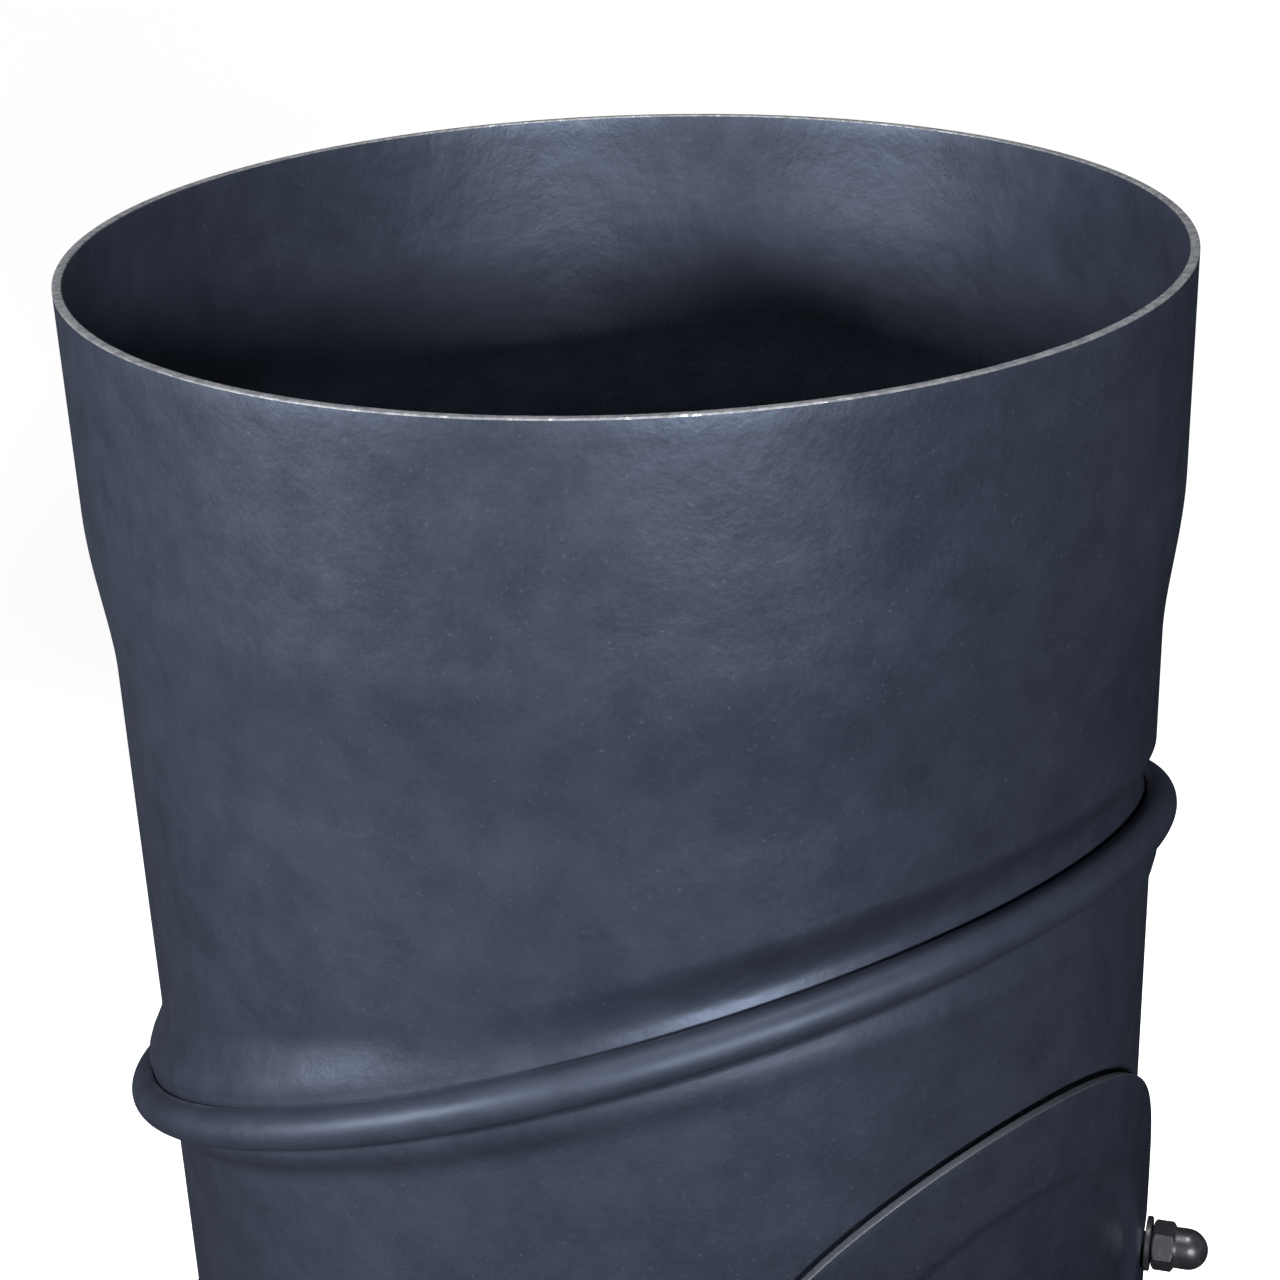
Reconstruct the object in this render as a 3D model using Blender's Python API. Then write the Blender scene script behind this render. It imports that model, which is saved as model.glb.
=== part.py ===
"""An adjustable flue elbow of sheet steel, with a cleaning door, standing straight on its plain end.

Three pipe segments meet in two swivel joints, each cut at half of 45 degrees to the pipe. At a joint
the lower segment's edge is rolled into a bead, and the upper segment's flange turns inside that bead.
The middle segment has the cleaning opening on its long side. A curved door lies over it on a gasket,
held by two studs with washers and cap nuts.

Metres, +Z up. The origin is the centre of the bottom end, and the door looks along -Y.
"""

from math import cos, pi, radians, sin, tan

import bmesh
import bpy
from mathutils import Vector

# Driving dimensions of the pipe
PIPE_RADIUS = 0.090  # outside
WALL = 0.0015
SOCKET_PLAY = 0.001  # round a pipe pushed into the socket
SOCKET_DEPTH = 0.037
TAPER_LENGTH = 0.029
UPPER_HEIGHT = 0.130  # rim to the upper joint's centre
MIDDLE_LENGTH = 0.112  # between the two joints' centres
LOWER_HEIGHT = 0.120  # bottom end to the lower joint's centre
MITRE = radians(22.5)

# The two swivel joints
BEAD_RADIUS = 0.0033  # outside of the rolled bead's section
FLANGE_REACH = 0.0027
JOINT_PLAY = 0.0006
LIP_ANGLE = radians(105)  # how far the bead is rolled round, from its outermost point
FLANGE_BEND = 0.0005  # inside radius of the flange's bend
NECK_INSET = 0.0036  # of the round neck from the slanted oval's longer half
BLEND_ABOVE = 0.010  # over which the neck above a joint runs out into the pipe
BLEND_BELOW = 0.007  # the same below a joint

# The cleaning door and what holds it
DOOR_MARGIN = 0.019  # from the run-out of the joint's neck to the door's edge
DOOR_SHEET = 0.0015
DOOR_BORDER = 0.0146  # from the door's edge to its pressed centre, measured round the pipe
RECESS_SLOPE = 0.005
RECESS_DEPTH = 0.002
OPENING_INSET = 0.0014  # of the opening's edge from the pressed centre's
GASKET_THICKNESS = 0.001
GASKET_INSET = 0.0015  # from the opening's edge and from the door's
STUD_RADIUS = 0.0025
STUD_GRIP = 0.0065  # of the stud inside its cap nut
SLOT_PLAY = 0.0006
WASHER_RADIUS = 0.005
WASHER_THICKNESS = 0.001
NUT_ACROSS_FLATS = 0.008
NUT_HEX_HEIGHT = 0.004
NUT_DOME_RADIUS = 0.00375
NUT_HEIGHT = 0.010
NUT_TOP_THICKNESS = 0.002
THREAD_PLAY = 0.0003
SEAT_GAP = 0.0003  # between pieces that rest on each other

# Fineness of the facets
ROUND = 48
SMALL_ROUND = 24
BEND_STEPS = 3
BEAD_STEPS = 8
DOOR_ROUND = 56

NECK_RADIUS = PIPE_RADIUS / cos(MITRE) - NECK_INSET
BEAD_CENTRE = NECK_RADIUS + FLANGE_REACH + JOINT_PLAY + WALL - BEAD_RADIUS
SHOULDER_BEND = BEAD_CENTRE - NECK_RADIUS
NECK_HEIGHT = BEAD_RADIUS + SHOULDER_BEND
SOCKET_RADIUS = PIPE_RADIUS + SOCKET_PLAY + WALL
# The door is as large as the middle segment's long side takes
LONG_SIDE = MIDDLE_LENGTH + 2 * PIPE_RADIUS * tan(MITRE)
DOOR_RADIUS = LONG_SIDE / 2 - NECK_HEIGHT - BLEND_ABOVE - DOOR_MARGIN
RECESS_RADIUS = DOOR_RADIUS - DOOR_BORDER
OPENING_RADIUS = RECESS_RADIUS - OPENING_INSET
DOOR_UNDERSIDE = PIPE_RADIUS + GASKET_THICKNESS + 2 * SEAT_GAP
DOOR_FACE = DOOR_UNDERSIDE + DOOR_SHEET
DOOR_HEIGHT = LOWER_HEIGHT + MIDDLE_LENGTH / 2
STUD_ANGLE = (DOOR_RADIUS + RECESS_RADIUS) / 2 / PIPE_RADIUS  # from the middle of the door, to each side
RIM_HEIGHT = LOWER_HEIGHT + MIDDLE_LENGTH + UPPER_HEIGHT


def clear_scene():
    for thing in list(bpy.data.objects):
        bpy.data.objects.remove(thing)


def material(name, colour, roughness, metallic):
    made = bpy.data.materials.new(name)
    made.use_nodes = True
    shader = made.node_tree.nodes["Principled BSDF"]
    shader.inputs["Base Color"].default_value = (*colour, 1)
    shader.inputs["Roughness"].default_value = roughness
    shader.inputs["Metallic"].default_value = metallic
    return made


def add_object(name, mesh_maker, look):
    """A new object from a bmesh, its faces turned outwards and its round faces smooth."""
    bmesh.ops.recalc_face_normals(mesh_maker, faces=mesh_maker.faces)
    mesh = bpy.data.meshes.new(name)
    mesh_maker.to_mesh(mesh)
    mesh_maker.free()
    mesh.materials.append(look)
    mesh.shade_smooth()
    mesh.set_sharp_from_angle(angle=radians(35))
    made = bpy.data.objects.new(name, mesh)
    bpy.context.scene.collection.objects.link(made)
    return made


def cut(target, cutter):
    """Take the cutter's shape out of the target, and hide the cutter."""
    cutter.hide_render = True
    cutter.display_type = "WIRE"
    boolean = target.modifiers.new("cut", "BOOLEAN")
    boolean.operation = "DIFFERENCE"
    boolean.solver = "EXACT"
    boolean.object = cutter


def bridge(mesh_maker, first, second):
    for i in range(len(first)):
        j = (i + 1) % len(first)
        mesh_maker.faces.new((first[i], first[j], second[j], second[i]))


def closed_shell(name, stations, look):
    """A sheet-metal tube: rings of points up its outside and down its inside, joined into a loop."""
    mesh_maker = bmesh.new()
    rings = []
    for station in stations:
        rings.append([mesh_maker.verts.new(station(2 * pi * i / ROUND)) for i in range(ROUND)])
    for ring, following in zip(rings, rings[1:] + rings[:1]):
        bridge(mesh_maker, ring, following)
    return add_object(name, mesh_maker, look)


def arc(centre, radius, start, end, steps):
    """Points (distance from the axis, height) of an arc, both ends included."""
    angles = [start + (end - start) * k / steps for k in range(steps + 1)]
    return [(centre[0] + radius * cos(a), centre[1] + radius * sin(a)) for a in angles]


class Joint:
    """The plane of a swivel joint. Angle 0 is the door's side, where the plane is highest or lowest."""

    def __init__(self, height, slope):
        self.centre = Vector((0, 0, height))
        self.slope = slope
        self.across = Vector((1, 0, 0))
        self.along = Vector((0, -cos(MITRE), slope * sin(MITRE)))
        self.normal = Vector((0, slope * sin(MITRE), cos(MITRE)))

    def point(self, radius, height, angle):
        spoke = cos(angle) * self.along + sin(angle) * self.across
        return self.centre + radius * spoke + height * self.normal

    def pipe_height(self, radius, angle):
        return self.centre.z + self.slope * tan(MITRE) * radius * cos(angle)


def ease(share):
    """1 at the joint's neck, falling smoothly to 0 where the plain pipe begins."""
    share = min(max(share, 0), 1)
    return 1 - share * share * (3 - 2 * share)


def wall_station(low, high, share, inset):
    """A ring on a segment's wall, between the necks of its joints. A plain end is given as a height."""

    def place(angle):
        radius = PIPE_RADIUS - inset
        low_end = low.pipe_height(radius, angle) + NECK_HEIGHT if isinstance(low, Joint) else low
        high_end = high.pipe_height(radius, angle) - NECK_HEIGHT if isinstance(high, Joint) else high
        room = (high_end - low_end) / (isinstance(low, Joint) + isinstance(high, Joint))
        z = low_end + share * (high_end - low_end)
        spot = Vector((radius * sin(angle), -radius * cos(angle), z))
        result = spot.copy()
        if isinstance(low, Joint):
            neck = low.point(NECK_RADIUS - inset, NECK_HEIGHT + z - low_end, angle)
            result += ease((z - low_end) / min(BLEND_ABOVE, room)) * (neck - spot)
        if isinstance(high, Joint):
            neck = high.point(NECK_RADIUS - inset, z - high_end - NECK_HEIGHT, angle)
            result += ease((high_end - z) / min(BLEND_BELOW, room)) * (neck - spot)
        return result

    return place


def joint_stations(joint, profile):
    return [lambda angle, r=r, h=h: joint.point(r, h, angle) for r, h in profile]


def turned_station(radius, z):
    return lambda angle: Vector((radius * sin(angle), -radius * cos(angle), z))


def flange_profile():
    """The turned-out foot of the segment above a joint, from its bore round to its outside."""
    bend_centre = (NECK_RADIUS + FLANGE_BEND, WALL / 2 + FLANGE_BEND)
    tip = NECK_RADIUS + FLANGE_REACH
    inside = arc(bend_centre, FLANGE_BEND + WALL, pi, 1.5 * pi, BEND_STEPS)
    outside = arc(bend_centre, FLANGE_BEND, 1.5 * pi, pi, BEND_STEPS)
    return inside + [(tip, -WALL / 2), (tip, WALL / 2)] + outside


def bead_profile():
    """The rolled head of the segment below a joint, from its outside round to its bore."""
    shoulder = (BEAD_CENTRE, -NECK_HEIGHT)
    roll = (BEAD_CENTRE, 0)
    outside = arc(shoulder, SHOULDER_BEND, pi, pi / 2, BEND_STEPS)
    outside += arc(roll, BEAD_RADIUS, -pi / 2, LIP_ANGLE, BEAD_STEPS)[1:]
    inside = arc(roll, BEAD_RADIUS - WALL, LIP_ANGLE, -pi / 2, BEAD_STEPS)
    inside += arc(shoulder, SHOULDER_BEND + WALL, pi / 2, pi, BEND_STEPS)[1:]
    return outside + inside


ONE_JOINT_SHARES = (0.06, 0.13, 0.2, 0.28, 0.38, 0.52, 1)
TWO_JOINT_SHARES = (0.03, 0.07, 0.11, 0.16, 0.23, 0.36, 0.5, 0.64, 0.77, 0.84, 0.89, 0.93, 0.97)


def socket_profile(inset):
    """From the foot of the taper to the rim."""
    foot = RIM_HEIGHT - SOCKET_DEPTH - TAPER_LENGTH
    widening = SOCKET_RADIUS - PIPE_RADIUS
    points = []
    for share in (0.2, 0.4, 0.6, 0.8, 1):
        points.append((PIPE_RADIUS - inset + widening * (1 - ease(share)), foot + share * TAPER_LENGTH))
    return points + [(SOCKET_RADIUS - inset, RIM_HEIGHT)]


def upper_segment(joint, look):
    foot = RIM_HEIGHT - SOCKET_DEPTH - TAPER_LENGTH
    stations = joint_stations(joint, flange_profile() + [(NECK_RADIUS, NECK_HEIGHT)])
    stations += [wall_station(joint, foot, share, 0) for share in ONE_JOINT_SHARES]
    stations += [turned_station(r, z) for r, z in socket_profile(0)]
    stations += [turned_station(r, z) for r, z in reversed(socket_profile(WALL))]
    stations += [wall_station(joint, foot, share, WALL) for share in reversed(ONE_JOINT_SHARES)]
    stations += joint_stations(joint, [(NECK_RADIUS - WALL, NECK_HEIGHT)])
    return closed_shell("upper_segment", stations, look)


def middle_segment(low, high, look):
    stations = joint_stations(low, flange_profile() + [(NECK_RADIUS, NECK_HEIGHT)])
    stations += [wall_station(low, high, share, 0) for share in TWO_JOINT_SHARES]
    stations += joint_stations(high, bead_profile())
    stations += [wall_station(low, high, share, WALL) for share in reversed(TWO_JOINT_SHARES)]
    stations += joint_stations(low, [(NECK_RADIUS - WALL, NECK_HEIGHT)])
    return closed_shell("middle_segment", stations, look)


def lower_segment(joint, look):
    shares = [1 - share for share in reversed(ONE_JOINT_SHARES)]
    stations = [wall_station(0, joint, share, 0) for share in shares]
    stations += joint_stations(joint, bead_profile())
    stations += [wall_station(0, joint, share, WALL) for share in reversed(shares)]
    return closed_shell("lower_segment", stations, look)


def laid_circle(size, radius):
    """A circle of the given size, laid round the pipe at a radius from its axis."""
    points = []
    for i in range(DOOR_ROUND):
        swing = size * cos(2 * pi * i / DOOR_ROUND) / PIPE_RADIUS
        z = DOOR_HEIGHT + size * sin(2 * pi * i / DOOR_ROUND)
        points.append(Vector((radius * sin(swing), -radius * cos(swing), z)))
    return points


def opening_cutter():
    """A straight prism that cuts the cleaning opening from the front only."""
    mesh_maker = bmesh.new()
    edge = laid_circle(OPENING_RADIUS, PIPE_RADIUS)
    back = [mesh_maker.verts.new((p.x, -PIPE_RADIUS / 2, p.z)) for p in edge]
    front = [mesh_maker.verts.new((p.x, -2 * PIPE_RADIUS, p.z)) for p in edge]
    bridge(mesh_maker, back, front)
    mesh_maker.faces.new(back)
    mesh_maker.faces.new(front)
    return mesh_maker


def door_plate():
    """The door's sheet: round, curved like the pipe, and with a shallow pressed centre."""
    rings = [(DOOR_RADIUS, 0), ((DOOR_RADIUS + RECESS_RADIUS) / 2, 0)]
    for share in (0, 0.25, 0.5, 0.75, 1):
        rings.append((RECESS_RADIUS - share * RECESS_SLOPE, RECESS_DEPTH * (1 - ease(share))))
    for share in (0.66, 0.33):
        rings.append(((RECESS_RADIUS - RECESS_SLOPE) * share, RECESS_DEPTH))
    mesh_maker = bmesh.new()
    sides = []
    for face in (DOOR_FACE, DOOR_UNDERSIDE):
        loops = []
        for size, depth in rings:
            loops.append([mesh_maker.verts.new(p) for p in laid_circle(size, face - depth)])
        for loop, following in zip(loops, loops[1:]):
            bridge(mesh_maker, loop, following)
        middle = mesh_maker.verts.new((0, -(face - RECESS_DEPTH), DOOR_HEIGHT))
        last = loops[-1]
        for i in range(len(last)):
            mesh_maker.faces.new((last[i], last[(i + 1) % len(last)], middle))
        sides.append(loops[0])
    bridge(mesh_maker, *sides)
    return mesh_maker


def slot_cutter(side):
    """An open slot in the door's end, so that the door lifts straight off its slanted stud."""
    plate_radius = (DOOR_FACE + DOOR_UNDERSIDE) / 2
    stud_x = plate_radius * sin(STUD_ANGLE)
    half_width = STUD_RADIUS + SLOT_PLAY
    reach = STUD_RADIUS / cos(STUD_ANGLE) + DOOR_SHEET * tan(STUD_ANGLE) + SLOT_PLAY
    end_x = stud_x - (reach - half_width)
    outline = arc((end_x, DOOR_HEIGHT), half_width, pi / 2, 1.5 * pi, SMALL_ROUND // 2)
    outline += [(PIPE_RADIUS, DOOR_HEIGHT - half_width), (PIPE_RADIUS, DOOR_HEIGHT + half_width)]
    mesh_maker = bmesh.new()
    back = [mesh_maker.verts.new((side * x, 0, z)) for x, z in outline]
    front = [mesh_maker.verts.new((side * x, -2 * PIPE_RADIUS, z)) for x, z in outline]
    bridge(mesh_maker, back, front)
    mesh_maker.faces.new(back)
    mesh_maker.faces.new(front)
    return mesh_maker


def gasket_ring():
    """A fibre ring between the pipe and the door, round the opening."""
    inner = OPENING_RADIUS + GASKET_INSET
    outer = DOOR_RADIUS - GASKET_INSET
    bottom = PIPE_RADIUS + SEAT_GAP
    top = bottom + GASKET_THICKNESS
    mesh_maker = bmesh.new()
    loops = []
    for size, radius in ((inner, bottom), (outer, bottom), (outer, top), (inner, top)):
        loops.append([mesh_maker.verts.new(p) for p in laid_circle(size, radius)])
    for loop, following in zip(loops, loops[1:] + loops[:1]):
        bridge(mesh_maker, loop, following)
    return mesh_maker


def turned(profile, sides=SMALL_ROUND):
    """A body turned about +Z. A profile point on the axis is a single point there."""
    mesh_maker = bmesh.new()
    loops = []
    for radius, z in profile:
        if radius == 0:
            loops.append([mesh_maker.verts.new((0, 0, z))])
            continue
        angles = [2 * pi * i / sides for i in range(sides)]
        loops.append([mesh_maker.verts.new((radius * cos(a), radius * sin(a), z)) for a in angles])
    for loop, following in zip(loops, loops[1:]):
        if len(loop) == 1 or len(following) == 1:
            point, ring = (loop[0], following) if len(loop) == 1 else (following[0], loop)
            for i in range(len(ring)):
                mesh_maker.faces.new((ring[i], ring[(i + 1) % len(ring)], point))
        else:
            bridge(mesh_maker, loop, following)
    if len(loops[0]) > 1 and len(loops[-1]) > 1:
        bridge(mesh_maker, loops[-1], loops[0])
    return mesh_maker


def stud_body(base, tip):
    chamfer = STUD_RADIUS / 5
    return turned(
        [
            (0, base),
            (STUD_RADIUS, base),
            (STUD_RADIUS, tip - chamfer),
            (STUD_RADIUS - chamfer, tip),
            (0, tip),
        ]
    )


def gasket_hole_cutter():
    """A pin that cuts the gasket's hole for a stud."""
    radius = STUD_RADIUS + SLOT_PLAY
    return turned([(0, PIPE_RADIUS / 2), (radius, PIPE_RADIUS / 2), (radius, 2 * PIPE_RADIUS), (0, 2 * PIPE_RADIUS)])


def washer_body(base):
    hole = STUD_RADIUS + THREAD_PLAY
    top = base + WASHER_THICKNESS
    return turned([(hole, base), (WASHER_RADIUS, base), (WASHER_RADIUS, top), (hole, top)])


def nut_body(base):
    """A domed cap nut, hollow from below. The hexagon is a turned ring with six sides."""
    hole = STUD_RADIUS + THREAD_PLAY
    corner = NUT_ACROSS_FLATS / 2 / cos(pi / 6)
    collar = base + NUT_HEX_HEIGHT
    shoulder = base + NUT_HEIGHT - NUT_DOME_RADIUS
    mesh_maker = bmesh.new()

    def ring(radius, z, hexagonal=False):
        loop = []
        for i in range(SMALL_ROUND):
            angle = 2 * pi * i / SMALL_ROUND
            reach = radius
            if hexagonal:
                off = (angle + pi / 6) % (pi / 3) - pi / 6
                reach = radius * cos(pi / 6) / cos(pi / 6 - abs(off))
            loop.append(mesh_maker.verts.new((reach * cos(angle), reach * sin(angle), z)))
        return loop

    bevel = corner - NUT_ACROSS_FLATS / 2
    loops = [
        ring(hole, base),
        ring(NUT_ACROSS_FLATS / 2, base),
        ring(corner, base + bevel, True),
        ring(corner, collar - bevel / 2, True),
        ring(NUT_DOME_RADIUS, collar),
        ring(NUT_DOME_RADIUS, shoulder),
    ]
    for k in (1, 2, 3):
        lean = k * pi / 8
        loops.append(ring(NUT_DOME_RADIUS * cos(lean), shoulder + NUT_DOME_RADIUS * sin(lean)))
    for loop, following in zip(loops, loops[1:]):
        bridge(mesh_maker, loop, following)
    crown = mesh_maker.verts.new((0, 0, base + NUT_HEIGHT))
    top = loops[-1]
    for i in range(SMALL_ROUND):
        mesh_maker.faces.new((top[i], top[(i + 1) % SMALL_ROUND], crown))
    roof = ring(hole, base + NUT_HEIGHT - NUT_TOP_THICKNESS)
    bridge(mesh_maker, loops[0], roof)
    mesh_maker.faces.new(roof)
    return mesh_maker


def main():
    clear_scene()
    paint = material("heat_paint", (0.035, 0.038, 0.047), 0.55, 0.3)
    fibre = material("gasket_fibre", (0.12, 0.12, 0.12), 0.95, 0.0)
    dark_steel = material("dark_steel", (0.03, 0.032, 0.037), 0.4, 0.6)

    low = Joint(LOWER_HEIGHT, -1)
    high = Joint(LOWER_HEIGHT + MIDDLE_LENGTH, 1)
    lower_segment(low, paint)
    middle = middle_segment(low, high, paint)
    upper_segment(high, paint)

    opening = add_object("opening_cutter", opening_cutter(), paint)
    cut(middle, opening)
    door = add_object("cleaning_door", door_plate(), paint)
    gasket = add_object("door_gasket", gasket_ring(), fibre)

    washer_base = DOOR_FACE + SEAT_GAP
    nut_base = washer_base + WASHER_THICKNESS + SEAT_GAP
    for side, word in ((-1, "left"), (1, "right")):
        slot = add_object("slot_cutter_" + word, slot_cutter(side), paint)
        cut(door, slot)
        axis = bpy.data.objects.new("stud_axis_" + word, None)
        bpy.context.scene.collection.objects.link(axis)
        axis.location = (0, 0, DOOR_HEIGHT)
        axis.rotation_euler = (pi / 2, 0, side * STUD_ANGLE)
        bodies = {
            "stud_": stud_body(PIPE_RADIUS + SEAT_GAP, nut_base + STUD_GRIP),
            "washer_": washer_body(washer_base),
            "cap_nut_": nut_body(nut_base),
        }
        for name, body in bodies.items():
            add_object(name + word, body, dark_steel).parent = axis
        hole = add_object("gasket_hole_cutter_" + word, gasket_hole_cutter(), fibre)
        hole.parent = axis
        cut(gasket, hole)


main()
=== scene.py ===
# %% [markdown]
# An adjustable flue elbow of painted sheet steel.
# Three short lengths of pipe meet in two slanted swivel joints, and the middle one has a cleaning
# door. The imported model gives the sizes, the bodies and the joints. This lesson builds a finer mesh
# over each of its nodes, paints it, lights it and hands it back to the frame.

from math import cos, degrees, pi, radians, sin, tan

import bmesh
import bpy
from mathutils import Matrix, Vector


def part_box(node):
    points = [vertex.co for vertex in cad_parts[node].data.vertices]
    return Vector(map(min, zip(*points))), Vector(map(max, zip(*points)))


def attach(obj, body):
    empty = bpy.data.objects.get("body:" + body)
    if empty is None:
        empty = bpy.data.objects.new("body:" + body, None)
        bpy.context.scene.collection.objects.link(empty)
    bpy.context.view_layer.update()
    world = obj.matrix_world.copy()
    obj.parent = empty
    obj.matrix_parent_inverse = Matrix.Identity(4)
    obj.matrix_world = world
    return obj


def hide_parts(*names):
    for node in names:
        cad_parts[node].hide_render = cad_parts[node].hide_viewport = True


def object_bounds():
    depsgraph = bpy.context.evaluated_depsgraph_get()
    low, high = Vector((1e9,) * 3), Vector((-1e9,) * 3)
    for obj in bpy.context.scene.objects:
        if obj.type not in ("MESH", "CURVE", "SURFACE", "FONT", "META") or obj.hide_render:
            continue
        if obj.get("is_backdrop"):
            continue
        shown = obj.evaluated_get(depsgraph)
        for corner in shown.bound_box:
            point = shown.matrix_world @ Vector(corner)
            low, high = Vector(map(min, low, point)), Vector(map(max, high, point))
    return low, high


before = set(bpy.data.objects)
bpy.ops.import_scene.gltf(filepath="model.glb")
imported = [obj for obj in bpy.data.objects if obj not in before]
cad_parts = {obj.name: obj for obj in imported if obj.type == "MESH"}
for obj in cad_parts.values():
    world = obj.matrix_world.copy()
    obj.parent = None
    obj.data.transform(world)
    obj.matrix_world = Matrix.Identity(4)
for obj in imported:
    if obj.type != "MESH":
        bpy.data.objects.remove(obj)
cad_box = [list(corner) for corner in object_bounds()]

# %% [markdown]
# The maker's sizes, in metres.
# The frame's nodes are only coarse facets, so a fine mesh has to be made from the same sizes that
# the metal was formed to. They are repeated here by name, and the next cells read the rim's height
# and the door's size from the nodes.

# %% Sizes of the pipe and its joints
PIPE_RADIUS = 0.090
WALL = 0.0015
SOCKET_RADIUS = PIPE_RADIUS + 0.001 + WALL
SOCKET_DEPTH = 0.037
TAPER_LENGTH = 0.029
LOWER_HEIGHT = 0.120
UPPER_HEIGHT = 0.130
MITRE = radians(22.5)

BEAD_RADIUS = 0.0033
FLANGE_REACH = 0.0027
FLANGE_BEND = 0.0005
JOINT_PLAY = 0.0006
LIP_ANGLE = radians(105)
BLEND_ABOVE = 0.010
BLEND_BELOW = 0.007
NECK_INSET = 0.0036  # of the round neck from the slanted oval's longer half
NECK_RADIUS = PIPE_RADIUS / cos(MITRE) - NECK_INSET
BEAD_CENTRE = NECK_RADIUS + FLANGE_REACH + JOINT_PLAY + WALL - BEAD_RADIUS
SHOULDER_BEND = BEAD_CENTRE - NECK_RADIUS
NECK_HEIGHT = BEAD_RADIUS + SHOULDER_BEND

rim_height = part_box("upper_segment")[1][2]
MIDDLE_LENGTH = rim_height - LOWER_HEIGHT - UPPER_HEIGHT
print(f"rim at {rim_height * 1000:.1f} mm, {MIDDLE_LENGTH * 1000:.1f} mm between the joints")

# %% Sizes of the door and its fastenings
GASKET_THICKNESS = 0.001
SEAT_GAP = 0.0003
DOOR_SHEET = 0.0015
DOOR_BORDER = 0.0146
RECESS_SLOPE = 0.005
RECESS_DEPTH = 0.002
OPENING_INSET = 0.0014
GASKET_INSET = 0.0015
STUD_RADIUS = 0.0025
SLOT_PLAY = 0.0006
THREAD_PLAY = 0.0003
WASHER_RADIUS = 0.005
WASHER_THICKNESS = 0.001
NUT_ACROSS_FLATS = 0.008
NUT_HEX_HEIGHT = 0.004
NUT_DOME_RADIUS = 0.00375
NUT_HEIGHT = 0.010
NUT_CROWN = 0.002
STUD_IN_NUT = 0.0065

DOOR_UNDERSIDE = PIPE_RADIUS + GASKET_THICKNESS + 2 * SEAT_GAP
DOOR_FACE = DOOR_UNDERSIDE + DOOR_SHEET
DOOR_HEIGHT = LOWER_HEIGHT + MIDDLE_LENGTH / 2
door_low, door_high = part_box("cleaning_door")
DOOR_RADIUS = (door_high[2] - door_low[2]) / 2
RECESS_RADIUS = DOOR_RADIUS - DOOR_BORDER
OPENING_RADIUS = RECESS_RADIUS - OPENING_INSET
STUD_ANGLE = (DOOR_RADIUS + RECESS_RADIUS) / 2 / PIPE_RADIUS
print(f"door {DOOR_RADIUS * 2000:.1f} mm across, studs at {degrees(STUD_ANGLE):.1f} degrees")

# %% [markdown]
# The camera stands close, above the rim, and looks down into the socket.
# A close camera gives strong perspective: the pipe narrows visibly towards its foot. It is placed
# by its distance from the pipe's axis and its height above the rim, and turned by three angles.

# %% Camera
CAMERA_SIDE = radians(39.25)  # the camera's bearing, from the door's towards the left
CAMERA_DISTANCE = 0.39926
CAMERA_ABOVE_RIM = 0.10489
CAMERA_DOWN = radians(24.01)
CAMERA_ROLL = radians(-2.167)

camera = bpy.data.objects.new("camera", bpy.data.cameras.new("camera"))
bpy.context.scene.collection.objects.link(camera)
camera.data.sensor_width = 36
camera.data.lens = 69.69
camera.data.clip_start = 0.01
level = cos(CAMERA_DOWN)
forward = Vector((level * sin(CAMERA_SIDE), level * cos(CAMERA_SIDE), -sin(CAMERA_DOWN)))
level_right = forward.cross(Vector((0, 0, 1))).normalized()
level_up = level_right.cross(forward)
right = cos(CAMERA_ROLL) * level_right + sin(CAMERA_ROLL) * level_up
up = cos(CAMERA_ROLL) * level_up - sin(CAMERA_ROLL) * level_right
place = Matrix((right, up, -forward)).transposed().to_4x4()
place.translation = (
    -CAMERA_DISTANCE * sin(CAMERA_SIDE),
    -CAMERA_DISTANCE * cos(CAMERA_SIDE),
    rim_height + CAMERA_ABOVE_RIM,
)
camera.matrix_world = place
bpy.context.scene.camera = camera
print("camera at", [round(value, 3) for value in place.translation])

# %% [markdown]
# Shader maths reads best as arithmetic.
# `Value` wraps one output of a node, so that `1 - mask * 0.3` adds its own Math nodes. `Finish` is
# one material: its `node` method takes any node's type, its settings and its sockets.


# %% Values and finishes
class Value:
    """One output of a node. Arithmetic on it adds Math nodes."""

    def __init__(self, finish, output):
        self.finish = finish
        self.output = output

    def maths(self, operation, first, second):
        return self.finish.node("ShaderNodeMath", {"operation": operation}, {0: first, 1: second})

    def __add__(self, other):
        return self.maths("ADD", self, other)

    def __sub__(self, other):
        return self.maths("SUBTRACT", self, other)

    def __rsub__(self, other):
        return self.maths("SUBTRACT", other, self)

    def __mul__(self, other):
        return self.maths("MULTIPLY", self, other)

    __radd__ = __add__
    __rmul__ = __mul__


class Finish:
    """A material on the Principled shader, built one node at a time."""

    def __init__(self, name):
        self.material = bpy.data.materials.new(name)
        self.material.use_nodes = True
        self.tree = self.material.node_tree
        self.shader = self.tree.nodes["Principled BSDF"]

    def feed(self, socket, given):
        if isinstance(given, Value):
            self.tree.links.new(given.output, socket)
        elif isinstance(given, tuple) and socket.type == "RGBA":
            socket.default_value = (*given, 1)
        else:
            socket.default_value = given

    def node(self, kind, settings=None, sockets=None, output=0):
        made = self.tree.nodes.new(kind)
        for setting, chosen in (settings or {}).items():
            setattr(made, setting, chosen)
        for socket, given in (sockets or {}).items():
            self.feed(made.inputs[socket], given)
        return Value(self, made.outputs[output])

    def surface(self, **sockets):
        for name, given in sockets.items():
            self.feed(self.shader.inputs[name.replace("_", " ")], given)


# %% [markdown]
# Patterns that every finish here shares.
# A noise gives a mottle of one grain size, a step turns it into patches with soft borders, and a
# mix blends two colours by a mask. Coordinates come from the object, so a pattern stays on its
# piece when a joint moves.


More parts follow.
